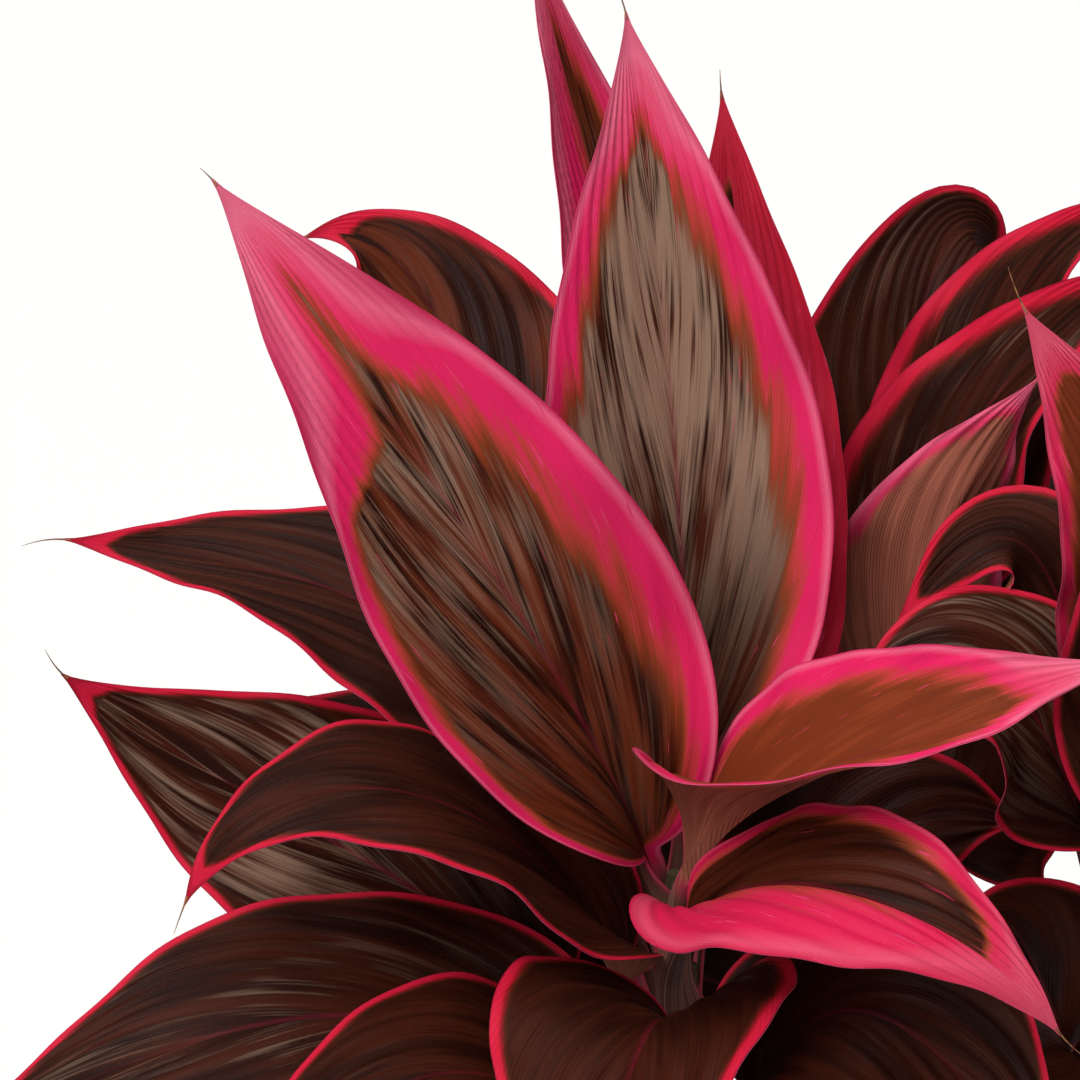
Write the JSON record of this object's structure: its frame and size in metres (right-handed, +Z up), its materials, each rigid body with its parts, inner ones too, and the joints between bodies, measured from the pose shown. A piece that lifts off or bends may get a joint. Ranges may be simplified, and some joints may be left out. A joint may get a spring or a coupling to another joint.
{
  "type": "potted ti plant",
  "caption": "Potted ti plant: leafy canes with broad, pointed, dark red-brown leaves edged in pink, growing from a plain round pot.",
  "frame": {"origin": "middle of the pot's flat underside, which stands on the floor", "axes": "+Z up along the pot; -Y is the side the picture is taken from, so +X is to its right"},
  "size_m": [0.6144, 0.5104, 0.8102],
  "materials": {
    "pot_plastic": "matt charcoal plastic",
    "soil": "loose bark and peat compost",
    "cane_bark": "grey-brown bark with leaf scars",
    "leaf_young": "satin, dark red-brown with wide pink edges",
    "leaf_mature": "satin, dark brown with a thin crimson edge"
  },
  "bodies": {
    "root": {"cane_back": "cane_bark", "cane_front": "cane_bark", "cane_main": "cane_bark", "cane_right": "cane_bark", "leaf_back_01": "leaf_mature", "leaf_back_02": "leaf_mature", "leaf_back_03": "leaf_mature", "leaf_back_04": "leaf_mature", "leaf_back_05": "leaf_mature", "leaf_back_06": "leaf_mature", "leaf_back_07": "leaf_mature", "leaf_back_08": "leaf_mature", "leaf_back_09": "leaf_mature", "leaf_back_10": "leaf_mature", "leaf_back_11": "leaf_young", "leaf_back_12": "leaf_mature", "leaf_front_01": "leaf_mature", "leaf_front_02": "leaf_mature", "leaf_front_03": "leaf_mature", "leaf_front_04": "leaf_mature", "leaf_front_05": "leaf_mature", "leaf_front_06": "leaf_mature", "leaf_front_07": "leaf_mature", "leaf_main_01": "leaf_young", "leaf_main_02": "leaf_young", "leaf_main_03": "leaf_young", "leaf_main_04": "leaf_young", "leaf_main_05": "leaf_mature", "leaf_main_06": "leaf_mature", "leaf_main_07": "leaf_mature", "leaf_main_08": "leaf_young", "leaf_main_09": "leaf_young", "leaf_main_10": "leaf_mature", "leaf_main_11": "leaf_mature", "leaf_main_12": "leaf_mature", "leaf_right_01": "leaf_young", "leaf_right_02": "leaf_mature", "leaf_right_03": "leaf_mature", "leaf_right_04": "leaf_mature", "leaf_right_05": "leaf_mature", "leaf_right_06": "leaf_mature", "leaf_right_07": "leaf_mature", "leaf_right_08": "leaf_mature", "leaf_right_09": "leaf_mature", "leaf_right_10": "leaf_mature", "leaf_right_11": "leaf_mature", "leaf_right_12": "leaf_mature", "leaf_right_13": "leaf_mature", "pot": "pot_plastic", "soil": "soil"}
  },
  "joints": []
}
